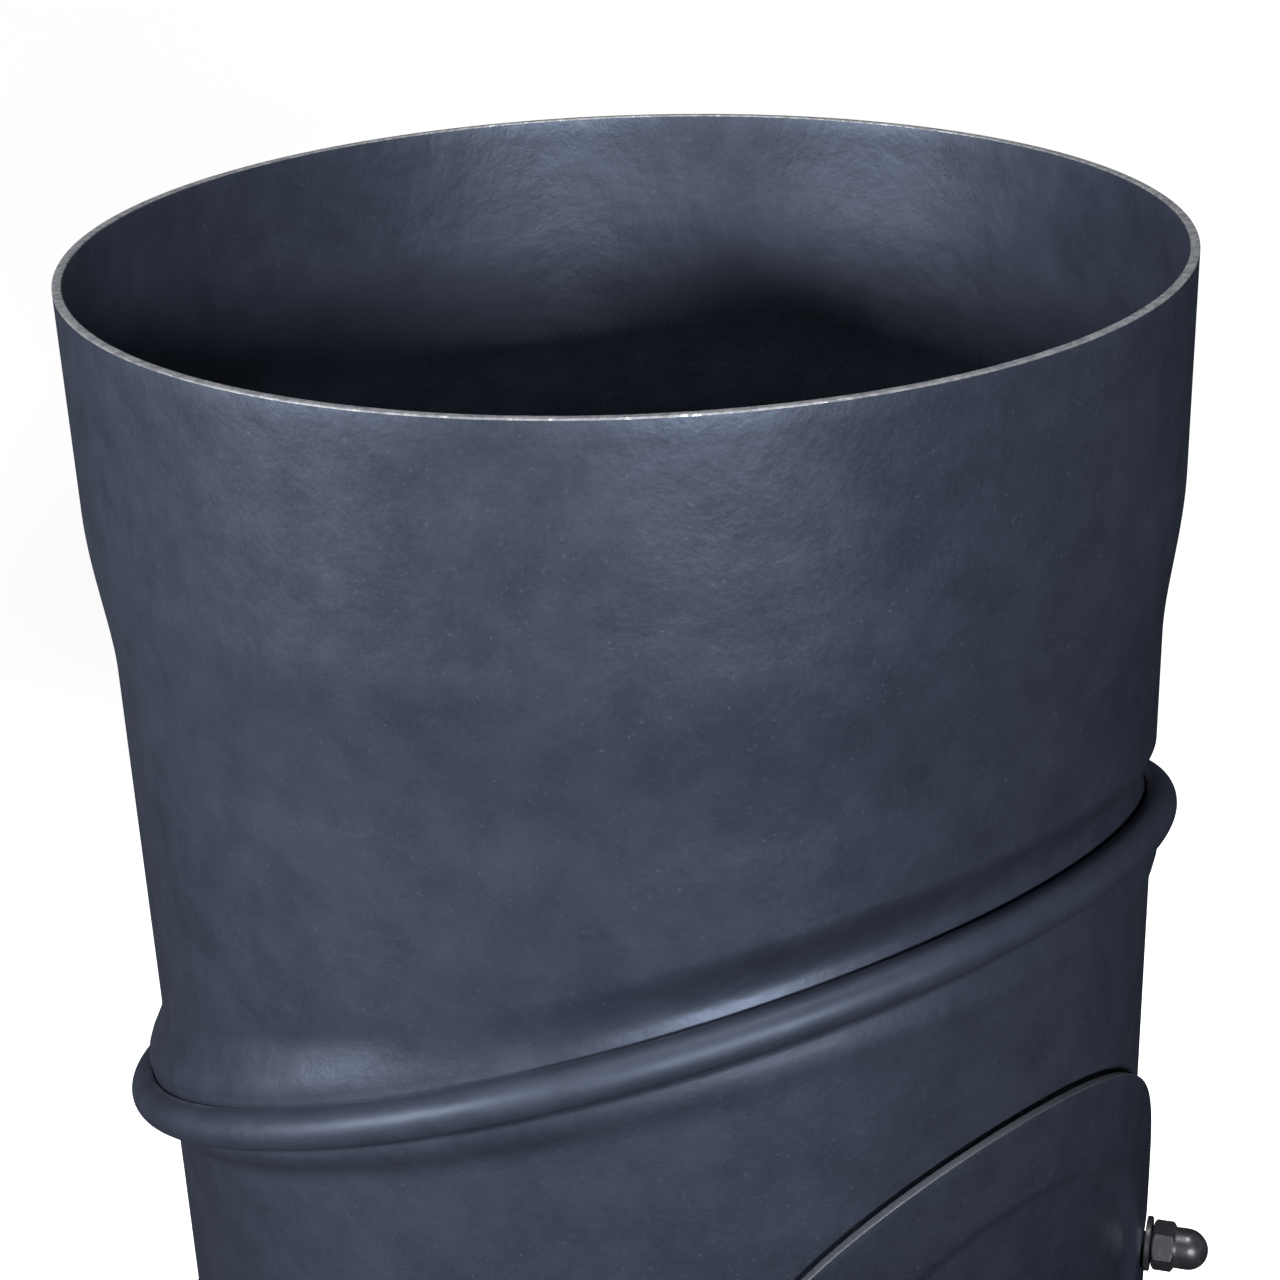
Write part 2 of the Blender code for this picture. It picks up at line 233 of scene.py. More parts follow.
# %% Shared patterns
def noise(finish, where, scale, detail=2, roughness=0.5):
    sockets = {"Vector": where, "Scale": scale, "Detail": detail, "Roughness": roughness}
    return finish.node("ShaderNodeTexNoise", {"noise_dimensions": "3D"}, sockets)


def step(finish, value, start, end):
    """0 below start and 1 above end, or the other way round if end is the smaller."""
    sockets = {"Value": value, "From Min": start, "From Max": end}
    return finish.node("ShaderNodeMapRange", {"interpolation_type": "SMOOTHSTEP"}, sockets)


def mix(finish, mask, first, second):
    sockets = {"Factor": mask, 6: first, 7: second}
    return finish.node("ShaderNodeMix", {"data_type": "RGBA"}, sockets, output=2)


def stretched(finish, where, along):
    """The coordinates, squeezed so that a pattern runs out in streaks."""
    sockets = {"Vector": where, "Scale": along}
    return finish.node("ShaderNodeMapping", {"vector_type": "POINT"}, sockets)


# %% [markdown]
# Heat-resistant paint.
# It is sprayed on thin and dries matt, a dark blue-grey whose sheen is blue too, which the shader's
# specular tint gives. Its fine grain is broken by faint cloudy patches, dust settles as pale specks,
# and a joint that has been turned wears through at its lip. Grain, patches and wear come from noise;
# where wear may start is written into the mesh as the attribute "wear", so that only worked edges
# show it.


# %% Heat paint
def heat_paint(name, worn):
    finish = Finish(name)
    where = finish.node("ShaderNodeTexCoord", output=3)
    clouds = noise(finish, where, 14, 3, 0.55)
    mottle = noise(finish, where, 120, 4, 0.6)
    grain = noise(finish, where, 1300, 3, 0.7)
    specks = step(finish, noise(finish, where, 1500, 1), 0.70, 0.78)
    streaks = noise(finish, stretched(finish, where, (12, 12, 900)), 1, 3, 0.6)
    rubbed = step(finish, streaks, 0.60, 0.72) * step(finish, noise(finish, where, 22, 2), 0.52, 0.68)

    tone = 0.45 * clouds + 0.3 * mottle + 0.25 * grain
    colour = mix(finish, step(finish, tone, 0.3, 0.7), (0.0095, 0.0118, 0.0185), (0.018, 0.0215, 0.0325))
    colour = mix(finish, 0.04 * rubbed + 0.12 * specks, colour, (0.13, 0.15, 0.19))
    gloss = 0.31 + 0.20 * mottle - 0.03 * rubbed + 0.10 * grain
    metal = 0.0
    if worn:
        start = finish.node("ShaderNodeAttribute", {"attribute_name": "wear"}, output=2)
        broken = noise(finish, where, 260, 4, 0.7)
        long = noise(finish, where, 38, 2)
        bare = step(finish, start + 0.5 * broken + 0.7 * long, 1.70, 1.76)
        thin = step(finish, start + 0.4 * broken + 0.6 * long, 1.2, 1.65)
        colour = mix(finish, 0.5 * thin, colour, (0.10, 0.11, 0.14))
        colour = mix(finish, bare, colour, (0.42, 0.42, 0.43))
        gloss = gloss + 0.07 - 0.15 * bare
        metal = 0.7 * bare
    relief = 0.08 * grain + 0.9 * mottle
    bump = finish.node("ShaderNodeBump", sockets={"Strength": 0.6, "Distance": 0.0005, "Height": relief})
    finish.surface(Base_Color=colour, Roughness=gloss, Metallic=metal, Normal=bump)
    finish.surface(Specular_IOR_Level=0.45, Specular_Tint=(0.62, 0.74, 1.0))
    return finish.material


PAINT = heat_paint("heat_paint", worn=False)
WORN_PAINT = heat_paint("heat_paint_worn", worn=True)
print("paint:", PAINT.name, "with", len(PAINT.node_tree.nodes), "nodes")

# %% [markdown]
# The sheet's cut edge.
# Paint pulls back from a sharp edge, so the pipe's ends show a light grey line of thinly covered
# steel, with bright nicks where they were knocked. The door's edge is the same with hardly any of
# it bare, since the paint was put on after the door was cut.


# %% Cut edge
def cut_edge(name, bare):
    finish = Finish(name)
    where = finish.node("ShaderNodeTexCoord", output=3)
    nicks = step(finish, noise(finish, where, 240, 4, 0.7), 0.56, 0.66)
    cover = step(finish, noise(finish, where, 700, 3, 0.6), 0.35, 0.65)
    colour = mix(finish, cover, (0.08, 0.084, 0.094), (0.14, 0.145, 0.155))
    colour = mix(finish, 0.6 * nicks, colour, (0.42, 0.42, 0.42))
    colour = mix(finish, bare, (0.02, 0.023, 0.03), colour)
    bump = finish.node(
        "ShaderNodeBump",
        sockets={"Strength": 0.4, "Distance": 0.0001, "Height": noise(finish, where, 1100, 3)},
    )
    metal = bare * (0.35 + 0.4 * nicks)
    finish.surface(Base_Color=colour, Roughness=0.52 - 0.15 * nicks, Metallic=metal, Normal=bump)
    return finish.material


CUT_EDGE = cut_edge("cut_edge", bare=1.0)
WORN_EDGE = cut_edge("worn_edge", bare=0.06)

# %% [markdown]
# Blackened steel for the nuts, washers and studs.
# It is smoother than the paint and a little shiny, with a brighter bloom where a spanner or a thumb
# has rubbed it.


# %% Black steel
def black_steel():
    finish = Finish("black_steel")
    where = finish.node("ShaderNodeTexCoord", output=3)
    rubbed = step(finish, noise(finish, where, 420, 4, 0.65), 0.52, 0.70)
    grain = noise(finish, where, 3500, 2)
    colour = mix(finish, rubbed, (0.022, 0.023, 0.027), (0.075, 0.077, 0.083))
    relief = {"Strength": 0.25, "Distance": 0.00005, "Height": grain}
    bump = finish.node("ShaderNodeBump", sockets=relief)
    metal = 0.35 + 0.35 * rubbed
    finish.surface(Base_Color=colour, Roughness=0.40 - 0.10 * rubbed, Metallic=metal, Normal=bump)
    return finish.material


BLACK_STEEL = black_steel()

# %% [markdown]
# The gasket's pressed fibre.
# Short grey fibres lie in all directions in the flat of the ring. Two noises, each stretched a
# different way, stand for them.


# %% Gasket fibre
def gasket_fibre():
    finish = Finish("gasket_fibre")
    where = finish.node("ShaderNodeTexCoord", output=3)
    across = noise(finish, stretched(finish, where, (1800, 1800, 260)), 1, 3, 0.7)
    upright = noise(finish, stretched(finish, where, (260, 260, 1800)), 1, 3, 0.7)
    fibres = 0.5 * across + 0.5 * upright
    colour = mix(finish, step(finish, fibres, 0.38, 0.62), (0.06, 0.06, 0.062), (0.17, 0.17, 0.165))
    bump = finish.node("ShaderNodeBump", sockets={"Strength": 0.8, "Distance": 0.0003, "Height": fibres})
    finish.surface(Base_Color=colour, Roughness=0.95, Normal=bump)
    return finish.material


FIBRE = gasket_fibre()
print("finishes:", ", ".join(m.name for m in (PAINT, WORN_PAINT, CUT_EDGE, BLACK_STEEL, FIBRE)))

# %% [markdown]
# A swivel joint lies in a slanted plane.
# Cut a round pipe at a slant and the cut is an oval. Two ovals would jam when turned, so the maker
# presses the pipe round again at the joint. Every ring of the mesh is therefore either round about
# the pipe, or round about the joint's own slanted axis, or something between the two.


# %% The joint's plane
class Joint:
    """Points about a joint's slanted axis. Angle 0 is the door's side."""

    def __init__(self, height, slope):
        self.centre = Vector((0, 0, height))
        self.slope = slope
        self.across = Vector((1, 0, 0))
        self.along = Vector((0, -cos(MITRE), slope * sin(MITRE)))
        self.normal = Vector((0, slope * sin(MITRE), cos(MITRE)))

    def point(self, radius, height, angle):
        spoke = cos(angle) * self.along + sin(angle) * self.across
        return self.centre + radius * spoke + height * self.normal

    def pipe_height(self, radius, angle):
        return self.centre.z + self.slope * tan(MITRE) * radius * cos(angle)


low_joint = Joint(LOWER_HEIGHT, -1)
high_joint = Joint(LOWER_HEIGHT + MIDDLE_LENGTH, 1)


# %% [markdown]
# From round pipe to round joint.
# The wall starts as plain pipe and runs out into the joint's neck. `ease` is the share of the neck:
# 1 at the joint, falling smoothly to 0, so the metal has no crease where the two meet.


# %% Wall between the joints
def ease(share):
    share = min(max(share, 0), 1)
    return 1 - share * share * (3 - 2 * share)


def wall_ring(low, high, share, inset):
    """A ring on the wall. A plain end is given as a height in place of its joint."""

    def place(angle):
        radius = PIPE_RADIUS - inset
        low_end = low.pipe_height(radius, angle) + NECK_HEIGHT if isinstance(low, Joint) else low
        high_end = high.pipe_height(radius, angle) - NECK_HEIGHT if isinstance(high, Joint) else high
        room = (high_end - low_end) / (isinstance(low, Joint) + isinstance(high, Joint))
        z = low_end + share * (high_end - low_end)
        spot = Vector((radius * sin(angle), -radius * cos(angle), z))
        result = spot.copy()
        if isinstance(low, Joint):
            neck = low.point(NECK_RADIUS - inset, NECK_HEIGHT + z - low_end, angle)
            result += ease((z - low_end) / min(BLEND_ABOVE, room)) * (neck - spot)
        if isinstance(high, Joint):
            neck = high.point(NECK_RADIUS - inset, z - high_end - NECK_HEIGHT, angle)
            result += ease((high_end - z) / min(BLEND_BELOW, room)) * (neck - spot)
        return result

    return place


def joint_rings(joint, profile):
    return [lambda angle, r=r, h=h: joint.point(r, h, angle) for r, h in profile]


def pipe_ring(radius, z):
    return lambda angle: Vector((radius * sin(angle), -radius * cos(angle), z))


# %% [markdown]
# The rolled bead and the flange inside it.
# The lower pipe's edge is rolled outwards and over, like the rim of a tin. The upper pipe's foot is
# turned out flat and sits in that roll, free to slide round. A narrow dark groove stays open
# between the lip and the upper pipe, and it is the line that makes the joint read as two pieces.


# %% Profiles of the bead and the flange
def arc(centre, radius, start, end, steps):
    angles = [start + (end - start) * k / steps for k in range(steps + 1)]
    return [(centre[0] + radius * cos(a), centre[1] + radius * sin(a)) for a in angles]


def flange_profile():
    """From the bore, under the flange and round its tip, to the outside of the neck."""
    bend = (NECK_RADIUS + FLANGE_BEND, WALL / 2 + FLANGE_BEND)
    tip = NECK_RADIUS + FLANGE_REACH - WALL / 2
    inside = arc(bend, FLANGE_BEND + WALL, pi, 1.5 * pi, 8)
    outside = arc(bend, FLANGE_BEND, 1.5 * pi, pi, 6)
    return inside + arc((tip, 0), WALL / 2, -pi / 2, pi / 2, 8) + outside


def bead_profile():
    """From the outside of the neck, over the roll to its lip, and back down the bore."""
    shoulder = (BEAD_CENTRE, -NECK_HEIGHT)
    roll = (BEAD_CENTRE, 0)
    middle = BEAD_RADIUS - WALL / 2
    lip = (BEAD_CENTRE + middle * cos(LIP_ANGLE), middle * sin(LIP_ANGLE))
    outside = arc(shoulder, SHOULDER_BEND, pi, pi / 2, 8)
    outside += arc(roll, BEAD_RADIUS, -pi / 2, LIP_ANGLE - 0.1, 36)[1:]
    turn = arc(lip, WALL / 2 * 0.96, LIP_ANGLE + 0.3, LIP_ANGLE + pi - 0.3, 6)
    inside = arc(roll, BEAD_RADIUS - WALL, LIP_ANGLE - 0.1, -pi / 2, 28)
    inside += arc(shoulder, SHOULDER_BEND + WALL, pi / 2, pi, 8)[1:]
    return outside + turn + inside


# %% [markdown]
# One closed skin for each pipe.
# The rings go up the outside, over the edge and down the inside, and the last joins the first, so
# each pipe is real sheet with two sides. The corners of its cut ends are rounded by a quarter of a
# millimetre, which is what catches the light.

# %% Sheet from rings
ROUND = 288
EDGE_ROUND = 0.00025


def object_from(name, mesh_maker, finishes, sharp=40):
    bmesh.ops.recalc_face_normals(mesh_maker, faces=mesh_maker.faces)
    mesh = bpy.data.meshes.new(name)
    mesh_maker.to_mesh(mesh)
    mesh_maker.free()
    for finish in finishes:
        mesh.materials.append(finish)
    mesh.shade_smooth()
    mesh.set_sharp_from_angle(angle=radians(sharp))
    made = bpy.data.objects.new(name, mesh)
    bpy.context.scene.collection.objects.link(made)
    return made


def bridge(mesh_maker, first, second, finish=0):
    for i in range(len(first)):
        j = (i + 1) % len(first)
        mesh_maker.faces.new((first[i], first[j], second[j], second[i])).material_index = finish


def shell(name, rings, finishes, is_cut):
    """A closed skin of rings. is_cut tells by a face's two rings if it is a cut edge."""
    mesh_maker = bmesh.new()
    loops = []
    for ring in rings:
        loops.append([mesh_maker.verts.new(ring(2 * pi * i / ROUND)) for i in range(ROUND)])
    for k, loop in enumerate(loops):
        bridge(mesh_maker, loop, loops[(k + 1) % len(loops)], int(is_cut(k)))
    return object_from(name, mesh_maker, finishes)


def rounded_end(outer, inner, z, up):
    """The cut end of a sheet: (radius, height) from its outer corner to its inner one."""
    corners = []
    for centre, start in ((outer - EDGE_ROUND, 0), (inner + EDGE_ROUND, pi / 2)):
        points = arc((centre, z - up * EDGE_ROUND), EDGE_ROUND, start, start + pi / 2, 4)
        corners += [(r, z - up * EDGE_ROUND + up * abs(h - z + up * EDGE_ROUND)) for r, h in points]
    return corners


def shares(count):
    return [(k + 0.5) / count for k in range(count)]


def socket_profile(inset):
    foot = rim_height - SOCKET_DEPTH - TAPER_LENGTH
    widening = SOCKET_RADIUS - PIPE_RADIUS
    points = []
    for k in range(1, 25):
        radius = PIPE_RADIUS - inset + widening * (1 - ease(k / 24))
        points.append((radius, foot + k / 24 * TAPER_LENGTH))
    straight = rim_height - SOCKET_DEPTH
    points += [(SOCKET_RADIUS - inset, straight + SOCKET_DEPTH * k / 10) for k in range(1, 10)]
    return points


# %% Upper pipe
def upper_segment():
    foot = rim_height - SOCKET_DEPTH - TAPER_LENGTH
    flange = flange_profile()
    rings = joint_rings(high_joint, flange + [(NECK_RADIUS, NECK_HEIGHT)])
    rings += [wall_ring(high_joint, foot, share, 0) for share in shares(44)]
    rings += [pipe_ring(r, z) for r, z in socket_profile(0)]
    cut = rounded_end(SOCKET_RADIUS, SOCKET_RADIUS - WALL, rim_height, 1)
    first_cut = len(rings)
    rings += [pipe_ring(r, z) for r, z in cut]
    last_cut = len(rings) - 1
    rings += [pipe_ring(r, z) for r, z in reversed(socket_profile(WALL))]
    rings += [wall_ring(high_joint, foot, share, WALL) for share in reversed(shares(44))]
    rings += joint_rings(high_joint, [(NECK_RADIUS - WALL, NECK_HEIGHT)])
    return shell("upper_pipe", rings, (PAINT, CUT_EDGE), lambda k: first_cut <= k < last_cut)


def middle_segment():
    rings = joint_rings(low_joint, flange_profile() + [(NECK_RADIUS, NECK_HEIGHT)])
    rings += [wall_ring(low_joint, high_joint, share, 0) for share in shares(90)]
    rings += joint_rings(high_joint, bead_profile())
    rings += [wall_ring(low_joint, high_joint, share, WALL) for share in reversed(shares(90))]
    rings += joint_rings(low_joint, [(NECK_RADIUS - WALL, NECK_HEIGHT)])
    return shell("middle_pipe", rings, (WORN_PAINT, CUT_EDGE), lambda k: False)


def lower_segment():
    cut = rounded_end(PIPE_RADIUS, PIPE_RADIUS - WALL, 0, -1)
    rings = [pipe_ring(r, z) for r, z in reversed(cut)]
    rings += [wall_ring(EDGE_ROUND, low_joint, share, 0) for share in shares(60)]
    rings += joint_rings(low_joint, bead_profile())
    rings += [wall_ring(EDGE_ROUND, low_joint, share, WALL) for share in reversed(shares(60))]
    last_cut = len(cut) - 1
    return shell("lower_pipe", rings, (WORN_PAINT, CUT_EDGE), lambda k: k < last_cut)


upper_pipe = upper_segment()
middle_pipe = middle_segment()
lower_pipe = lower_segment()
for pipe in (upper_pipe, middle_pipe, lower_pipe):
    print(pipe.name, len(pipe.data.vertices), "points")

# %% [markdown]
# Where a bead wears.
# The lip rubs against the upper pipe when the joint is turned, so wear is greatest on the top of the
# roll, on the side towards the neck, and fades to nothing on the wall. The amount is stored on each
# vertex, measured from the middle of the roll.


# %% Wear on the beads
MOST_WORN = Vector((-0.35, 0.94))  # outwards and along the joint's axis, from the middle of the roll


def mark_wear(made, joint):
    wear = made.data.attributes.new("wear", "FLOAT", "POINT")
    for vertex in made.data.vertices:
        offset = vertex.co - joint.centre
        height = offset.dot(joint.normal)
        radius = (offset - height * joint.normal).length
        from_roll = Vector((radius - BEAD_CENTRE, height))
        near = max(0, 1 - max(0, from_roll.length - BEAD_RADIUS) / BEAD_RADIUS)
        facing = 0 if from_roll.length < 0.001 else from_roll.normalized().dot(MOST_WORN)
        wear.data[vertex.index].value = near * max(0, facing) ** 3


mark_wear(middle_pipe, high_joint)
mark_wear(lower_pipe, low_joint)

# %% [markdown]
# Cutting a hole in a mesh.
# The cleaning opening and the door's slots are straight cuts, so a Boolean modifier with a hidden
# cutter makes them exactly. It is applied at once and the cutter thrown away, which leaves a plain
# mesh.


# %% Cutting and bevelling
def apply_modifiers(made):
    seen = made.evaluated_get(bpy.context.evaluated_depsgraph_get())
    made.data = bpy.data.meshes.new_from_object(seen)
    made.modifiers.clear()


def cut(made, mesh_maker):
    cutter = object_from("cutter", mesh_maker, ())
    boolean = made.modifiers.new("cut", "BOOLEAN")
    boolean.solver = "EXACT"
    boolean.object = cutter
    apply_modifiers(made)
    bpy.data.objects.remove(cutter)


def laid_circle(size, radius, count):
    """A circle of the given size, laid round the pipe at a radius from its axis."""
    points = []
    for i in range(count):
        swing = size * cos(2 * pi * i / count) / PIPE_RADIUS
        z = DOOR_HEIGHT + size * sin(2 * pi * i / count)
        points.append(Vector((radius * sin(swing), -radius * cos(swing), z)))
    return points


def prism(outline, back, front):
    """A straight block along Y with the given outline of (x, z)."""
    mesh_maker = bmesh.new()
    ends = [[mesh_maker.verts.new((x, y, z)) for x, z in outline] for y in (back, front)]
    bridge(mesh_maker, *ends)
    for end in ends:
        mesh_maker.faces.new(end)
    return mesh_maker


FAR = 2 * PIPE_RADIUS
opening = [(p.x, p.z) for p in laid_circle(OPENING_RADIUS, PIPE_RADIUS, 160)]
cut(middle_pipe, prism(opening, -PIPE_RADIUS / 2, -FAR))
middle_pipe.data.set_sharp_from_angle(angle=radians(40))
print("opening", round(OPENING_RADIUS * 2000, 1), "mm across")

# %% [markdown]
# The cleaning door.
# A round piece of sheet, curved to the pipe, with its centre pressed in by two millimetres so that
# it stays stiff and locates in the opening. Rings of points are laid round the pipe: flat at the
# border, down the soft slope of the pressing, and flat again in the middle.

# %% Door plate
DOOR_ROUND = 240


def door_plate():
    rings = []
    for k in range(5):
        lean = pi / 2 * k / 4
        rings.append((DOOR_RADIUS - EDGE_ROUND * (1 - cos(lean)), EDGE_ROUND * (1 - sin(lean))))
    border = DOOR_RADIUS - EDGE_ROUND - RECESS_RADIUS
    rings += [(RECESS_RADIUS + border * share, 0) for share in (0.9, 0.75, 0.6, 0.45, 0.3, 0.15)]
    for k in range(17):
        rings.append((RECESS_RADIUS - k / 16 * RECESS_SLOPE, RECESS_DEPTH * (1 - ease(k / 16))))
    middle = RECESS_RADIUS - RECESS_SLOPE
    rings += [(middle * (12 - k) / 12, RECESS_DEPTH) for k in range(1, 12)]
    mesh_maker = bmesh.new()
    outer = []
    for face, inwards in ((DOOR_FACE, 1), (DOOR_UNDERSIDE, -1)):
        loops = []
        for size, depth in rings:
            rounding = size > DOOR_RADIUS - EDGE_ROUND
            radius = face - depth * (inwards if rounding else 1)
            loops.append([mesh_maker.verts.new(p) for p in laid_circle(size, radius, DOOR_ROUND)])
        for k, (loop, following) in enumerate(zip(loops, loops[1:])):
            bridge(mesh_maker, loop, following, int(k < 3))
        hub = mesh_maker.verts.new((0, -(face - RECESS_DEPTH), DOOR_HEIGHT))
        last = loops[-1]
        for i in range(DOOR_ROUND):
            mesh_maker.faces.new((last[i], last[(i + 1) % DOOR_ROUND], hub))
        outer.append(loops[0])
    bridge(mesh_maker, *outer, 1)
    return mesh_maker


def slot_outline(side):
    """An open slot in the door's end, so that the door lifts straight off its slanted stud."""
    plate_radius = (DOOR_FACE + DOOR_UNDERSIDE) / 2
    half_width = STUD_RADIUS + SLOT_PLAY
    reach = STUD_RADIUS / cos(STUD_ANGLE) + DOOR_SHEET * tan(STUD_ANGLE) + SLOT_PLAY
    end_x = plate_radius * sin(STUD_ANGLE) - (reach - half_width)
    outline = arc((end_x, DOOR_HEIGHT), half_width, pi / 2, 1.5 * pi, 24)
    outline += [(PIPE_RADIUS, DOOR_HEIGHT - half_width), (PIPE_RADIUS, DOOR_HEIGHT + half_width)]
    return [(side * x, z) for x, z in outline]


door = object_from("door_plate", door_plate(), (PAINT, WORN_EDGE))
for side in (-1, 1):
    cut(door, prism(slot_outline(side), 0, -FAR))
door.data.set_sharp_from_angle(angle=radians(40))
print("door plate", len(door.data.polygons), "faces")

# %% [markdown]
# The gasket.
# A flat ring of fibre seals the door against the hot pipe. It is seen as a dark line under the
# door's edge, and whole when the door is off.


# %% Gasket ring
def gasket_ring():
    inner, outer = OPENING_RADIUS + GASKET_INSET, DOOR_RADIUS - GASKET_INSET
    bottom = PIPE_RADIUS + SEAT_GAP
    top = bottom + GASKET_THICKNESS
    soft = GASKET_THICKNESS / 4
    profile = [(inner, bottom + soft), (inner + soft, bottom)]
    profile += [(outer - soft, bottom), (outer, bottom + soft), (outer, top - soft), (outer - soft, top)]
    profile += [(outer + (inner - outer) * k / 8, top) for k in range(1, 8)]
    profile += [(inner + soft, top), (inner, top - soft)]
    mesh_maker = bmesh.new()
    loops = []
    for size, radius in profile:
        loops.append([mesh_maker.verts.new(p) for p in laid_circle(size, radius, DOOR_ROUND)])
    for loop, following in zip(loops, loops[1:] + loops[:1]):
        bridge(mesh_maker, loop, following)
    return mesh_maker


gasket = object_from("gasket_ring", gasket_ring(), (FIBRE,))

# %% [markdown]
# Studs, washers and cap nuts share one axis.
# Each is modelled upright about its own axis, then laid onto the pipe by one matrix, so the three
# stay in line. The thread is a real helix: the radius at each point depends on its height and its
# angle together.


# %% Round parts
def lattice(mesh_maker, place, heights, around, finish=0):
    """A grid of points about Z. place gives a radius for a height's number and an angle."""
    loops = []
    for k, z in enumerate(heights):
        loop = []
        for i in range(around):
            angle = 2 * pi * i / around
            r = place(k, angle)
            loop.append(mesh_maker.verts.new((r * cos(angle), r * sin(angle), z)))
        loops.append(loop)
    for loop, following in zip(loops, loops[1:]):
        bridge(mesh_maker, loop, following, finish)
    return loops


THREAD_PITCH = 0.0008
THREAD_DEPTH = 0.00035


def stud(base, tip):
    around, per_turn = 48, 8
    count = round((tip - base) / THREAD_PITCH * per_turn)
    heights = [base + (tip - base) * k / count for k in range(count + 1)]

    def radius(k, angle):
        turn = ((heights[k] - base) / THREAD_PITCH - angle / (2 * pi)) % 1
        depth = THREAD_DEPTH * min(1, 1.6 * (1 - abs(2 * turn - 1)))
        chamfer = min(1, (tip - heights[k]) / 0.0006, (heights[k] - base) / 0.0002)
        return STUD_RADIUS - max(depth, 0.0007 * (1 - chamfer))

    mesh_maker = bmesh.new()
    loops = lattice(mesh_maker, radius, heights, around)
    mesh_maker.faces.new(loops[0])
    mesh_maker.faces.new(loops[-1])
    return mesh_maker


def washer(base):
    hole = STUD_RADIUS + THREAD_PLAY
    top, soft = base + WASHER_THICKNESS, 0.00015
    profile = [(hole, base), (WASHER_RADIUS - soft, base), (WASHER_RADIUS, base + soft)]
    profile += [(WASHER_RADIUS, top - soft), (WASHER_RADIUS - soft, top)]
    profile += [(hole + soft, top), (hole, top - soft)]
    mesh_maker = bmesh.new()
    loops = lattice(mesh_maker, lambda k, angle: profile[k][0], [z for r, z in profile], 96)
    bridge(mesh_maker, loops[-1], loops[0])
    return mesh_maker


# %% [markdown]
# The cap nut.
# A hexagon bar is turned down: a cone takes the hexagon's corners off at both ends, and what is
# left at any height is the smaller of hexagon and cone. Taking that minimum point by point gives
# the curved chamfer lines of a real nut with no cutting at all. A dome closes the top.


# %% Cap nut
def cap_nut(base):
    around = 144
    flat = NUT_ACROSS_FLATS / 2
    corner = flat / cos(pi / 6)
    collar = base + NUT_HEX_HEIGHT
    shoulder = base + NUT_HEIGHT - NUT_DOME_RADIUS
    rise = (corner - flat) * 0.75
    hexagon = [base + NUT_HEX_HEIGHT * k / 28 for k in range(29)]

    def hexagon_radius(k, angle):
        off = (angle + pi / 6) % (pi / 3) - pi / 6
        reach = flat / cos(pi / 6 - abs(off))
        end = min(hexagon[k] - base, collar - hexagon[k])
        return min(reach, flat * 0.985 + (corner - flat * 0.985) * min(1, end / rise))

    mesh_maker = bmesh.new()
    loops = lattice(mesh_maker, hexagon_radius, hexagon, around)
    profile = [(NUT_DOME_RADIUS + 0.00004, collar), (NUT_DOME_RADIUS, collar + 0.0001)]
    profile += [(NUT_DOME_RADIUS, collar + (shoulder - collar) * k / 4) for k in range(1, 5)]
    profile += arc((0, shoulder), NUT_DOME_RADIUS, 0, pi / 2, 20)[1:-1]
    domed = lattice(mesh_maker, lambda k, angle: profile[k][0], [z for r, z in profile], around)
    bridge(mesh_maker, loops[-1], domed[0])
    crown = mesh_maker.verts.new((0, 0, base + NUT_HEIGHT))
    for i in range(around):
        mesh_maker.faces.new((domed[-1][i], domed[-1][(i + 1) % around], crown))
    hole = STUD_RADIUS + THREAD_PLAY
    bore = lattice(mesh_maker, lambda k, angle: hole, [base, base + NUT_HEIGHT - NUT_CROWN], around)
    bridge(mesh_maker, loops[0], bore[0])
    mesh_maker.faces.new(bore[1])
    return mesh_maker


washer_base = DOOR_FACE + SEAT_GAP
nut_base = washer_base + WASHER_THICKNESS + SEAT_GAP
fastenings = {}
for side, word in ((-1, "left"), (1, "right")):
    outward = Vector((side * sin(STUD_ANGLE), -cos(STUD_ANGLE), 0))
    axis = Matrix.Translation((0, 0, DOOR_HEIGHT)) @ outward.to_track_quat("Z", "Y").to_matrix().to_4x4()
    shapes = {
        "stud_": stud(PIPE_RADIUS + SEAT_GAP, nut_base + STUD_IN_NUT),
        "washer_": washer(washer_base),
        "cap_nut_": cap_nut(nut_base),
    }
    for name, mesh_maker in shapes.items():
        mesh_maker.transform(axis)
        fastenings[name + word] = object_from(name + word + "_fine", mesh_maker, (BLACK_STEEL,), 28)
    hole = bmesh.new()
    reach = STUD_RADIUS + SLOT_PLAY
    ends = lattice(hole, lambda k, angle: reach, (PIPE_RADIUS / 2, FAR), 48)
    for end in ends:
        hole.faces.new(end)
    hole.transform(axis)
    cut(gasket, hole)
gasket.data.set_sharp_from_angle(angle=radians(40))
print("fastenings:", ", ".join(fastenings))

# %% [markdown]
# Hand each piece to its body.
# A piece rides on a body of the frame and stands for one of its nodes, which is hidden. Each entry
# also names a slot for its finish, which nothing here reads. The studs and the gasket stay on the
# middle pipe when the door comes off.

# %% Ride and replace
pieces = [
    (upper_pipe, "upper", "upper_segment", "heat_paint"),
    (middle_pipe, "middle", "middle_segment", "heat_paint"),
    (lower_pipe, "lower", "lower_segment", "heat_paint"),
    (door, "door", "cleaning_door", "heat_paint"),
    (gasket, "middle", "door_gasket", "gasket_fibre"),
]
for word in ("left", "right"):
    pieces.append((fastenings["stud_" + word], "middle", "stud_" + word, "black_steel"))
    for name in ("washer_", "cap_nut_"):
        pieces.append((fastenings[name + word], word + "_nut", name + word, "black_steel"))
for piece, body, node, slot in pieces:
    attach(piece, body)
    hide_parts(node)

